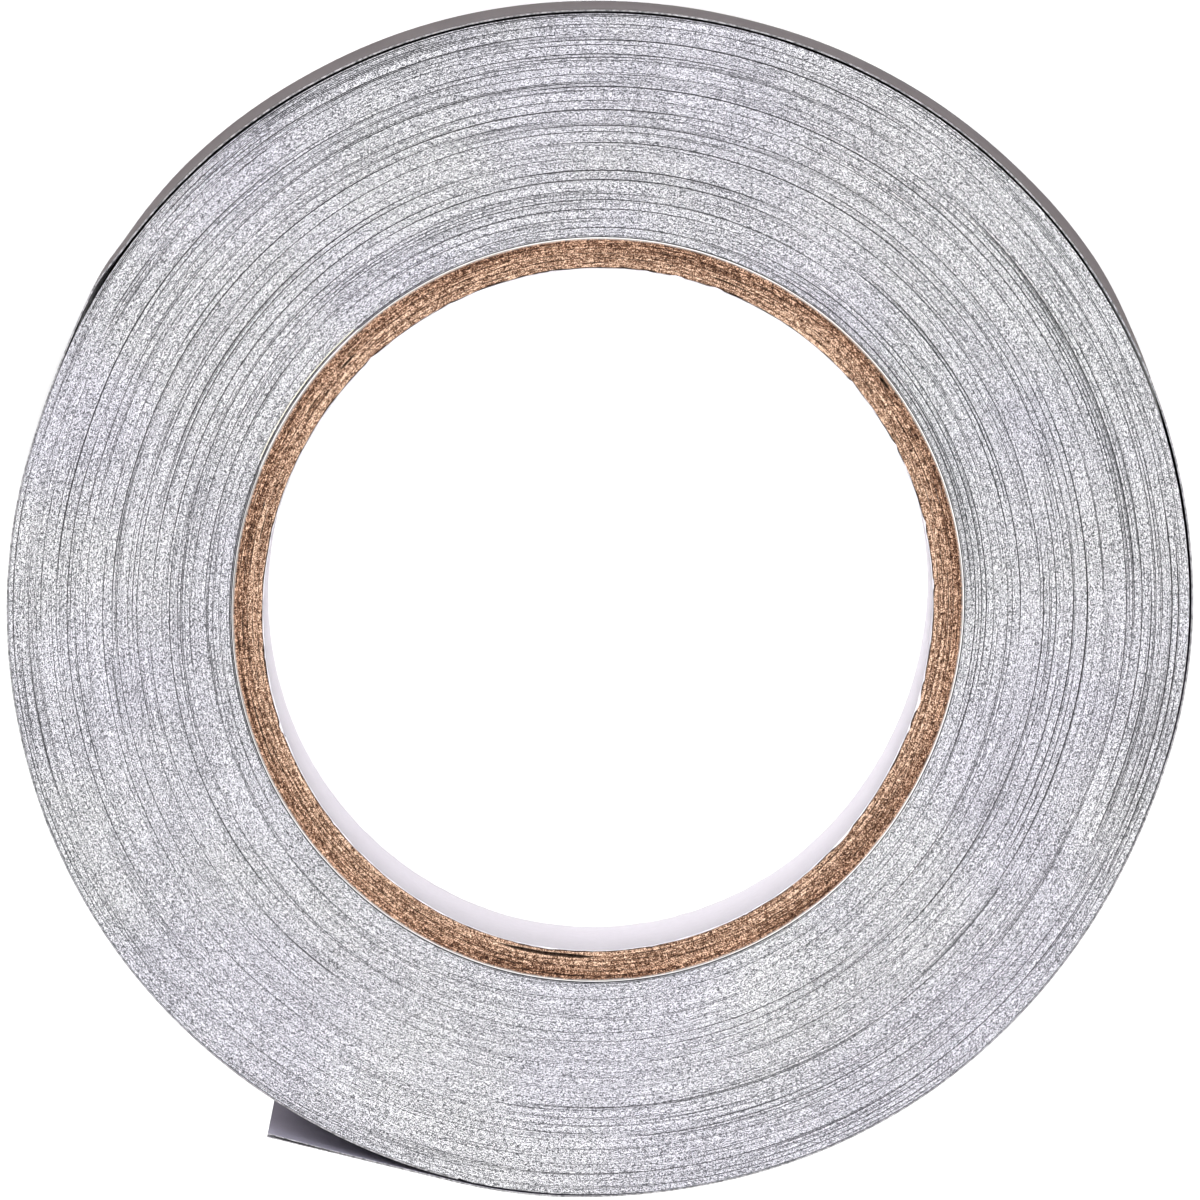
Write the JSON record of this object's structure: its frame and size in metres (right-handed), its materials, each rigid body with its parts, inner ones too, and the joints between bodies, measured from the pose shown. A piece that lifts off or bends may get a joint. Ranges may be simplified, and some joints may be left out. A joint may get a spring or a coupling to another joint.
{
  "type": "duct tape roll",
  "caption": "Roll of aluminium foil duct tape with a paper release liner, wound on a cardboard core, with a loose end that unwinds, lifts and peels.",
  "frame": {"origin": "centre of the lower side face, on the roll's axis", "axes": "+Z along the roll's axis, up through the upper side face; seen from above, the loose end leaves the roll at its -Y side and points towards -X"},
  "size_m": [0.1334, 0.1334, 0.048],
  "materials": {
    "white_paper": "matt white core paper",
    "kraft_board": "raw cut ends of brown core board, fibrous",
    "fixing_strip": "tacky double-sided strip",
    "wound_edge": "slit edges of the wound foil, adhesive and liner, fine concentric grain",
    "foil": "satin rolled foil with light creases",
    "adhesive": "clear acrylic adhesive",
    "release_liner": "smooth silicone-coated paper"
  },
  "bodies": {
    "roll": {"core_liner_ply": "white_paper", "core_kraft_ply_1": "kraft_board", "core_kraft_ply_2": "kraft_board", "core_kraft_ply_3": "kraft_board", "core_kraft_ply_4": "kraft_board", "core_kraft_ply_5": "kraft_board", "core_kraft_ply_6": "kraft_board", "core_fixing_strip": "fixing_strip", "inner_turns": "wound_edge", "wound_turns": "wound_edge", "outer_turn_liner": "release_liner", "outer_turn_adhesive": "adhesive", "outer_turn_foil": "foil"},
    "lead_1": {"lead_1_liner": "release_liner", "lead_1_adhesive": "adhesive", "lead_1_foil": "foil"},
    "lead_2": {"lead_2_liner": "release_liner", "lead_2_adhesive": "adhesive", "lead_2_foil": "foil"},
    "lead_3": {"lead_3_liner": "release_liner", "lead_3_adhesive": "adhesive", "lead_3_foil": "foil"},
    "lead_4": {"lead_4_liner": "release_liner", "lead_4_adhesive": "adhesive", "lead_4_foil": "foil"},
    "lead_5": {"lead_5_liner": "release_liner", "lead_5_adhesive": "adhesive", "lead_5_foil": "foil"},
    "tip_root": {"tip_root_liner": "release_liner", "tip_root_adhesive": "adhesive", "tip_root_foil": "foil"},
    "tip_end": {"tip_end_liner": "release_liner"},
    "peel_root": {"peel_root_adhesive": "adhesive", "peel_root_foil": "foil"},
    "peel_end": {"peel_end_adhesive": "adhesive", "peel_end_foil": "foil"}
  },
  "joints": [
    {"name": "lead_1_unwind", "type": "hinge", "parent": "roll", "child": "lead_1", "pos_m": [0.0588, -0.03193, 0.024], "axis": [0, 0, 1], "range_deg": [0, 15]},
    {"name": "lead_2_unwind", "type": "hinge", "parent": "lead_1", "child": "lead_2", "pos_m": [0.04836, -0.04589, 0.024], "axis": [0, 0, 1], "range_deg": [0, 15]},
    {"name": "lead_3_unwind", "type": "hinge", "parent": "lead_2", "child": "lead_3", "pos_m": [0.03484, -0.05685, 0.024], "axis": [0, 0, 1], "range_deg": [0, 15]},
    {"name": "lead_4_unwind", "type": "hinge", "parent": "lead_3", "child": "lead_4", "pos_m": [0.01894, -0.06393, 0.024], "axis": [0, 0, 1], "range_deg": [0, 15]},
    {"name": "lead_5_unwind", "type": "hinge", "parent": "lead_4", "child": "lead_5", "pos_m": [0.00175, -0.06666, 0.024], "axis": [0, 0, 1], "range_deg": [0, 15]},
    {"name": "tip_lift", "type": "hinge", "parent": "lead_5", "child": "tip_root", "pos_m": [-0.01557, -0.06485, 0.024], "axis": [0, 0, 1], "range_deg": [-2, 25]},
    {"name": "tip_curl", "type": "hinge", "parent": "tip_root", "child": "tip_end", "pos_m": [-0.02627, -0.06228, 0.024], "axis": [0, 0, 1], "range_deg": [-4, 50]},
    {"name": "foil_peel", "type": "hinge", "parent": "tip_end", "child": "peel_root", "pos_m": [-0.02627, -0.06228, 0.024], "axis": [0, 0, 1], "range_deg": [0, 40]},
    {"name": "foil_peel_curl", "type": "hinge", "parent": "peel_root", "child": "peel_end", "pos_m": [-0.03161, -0.061, 0.024], "axis": [0, 0, 1], "range_deg": [0, 40]}
  ],
  "couplings": [
    {"joint": "lead_2_unwind", "follows": "lead_1_unwind", "ratio": 1},
    {"joint": "lead_3_unwind", "follows": "lead_1_unwind", "ratio": 1},
    {"joint": "lead_4_unwind", "follows": "lead_1_unwind", "ratio": 1},
    {"joint": "lead_5_unwind", "follows": "lead_1_unwind", "ratio": 1},
    {"joint": "tip_curl", "follows": "tip_lift", "ratio": 2},
    {"joint": "foil_peel_curl", "follows": "foil_peel", "ratio": 1}
  ]
}
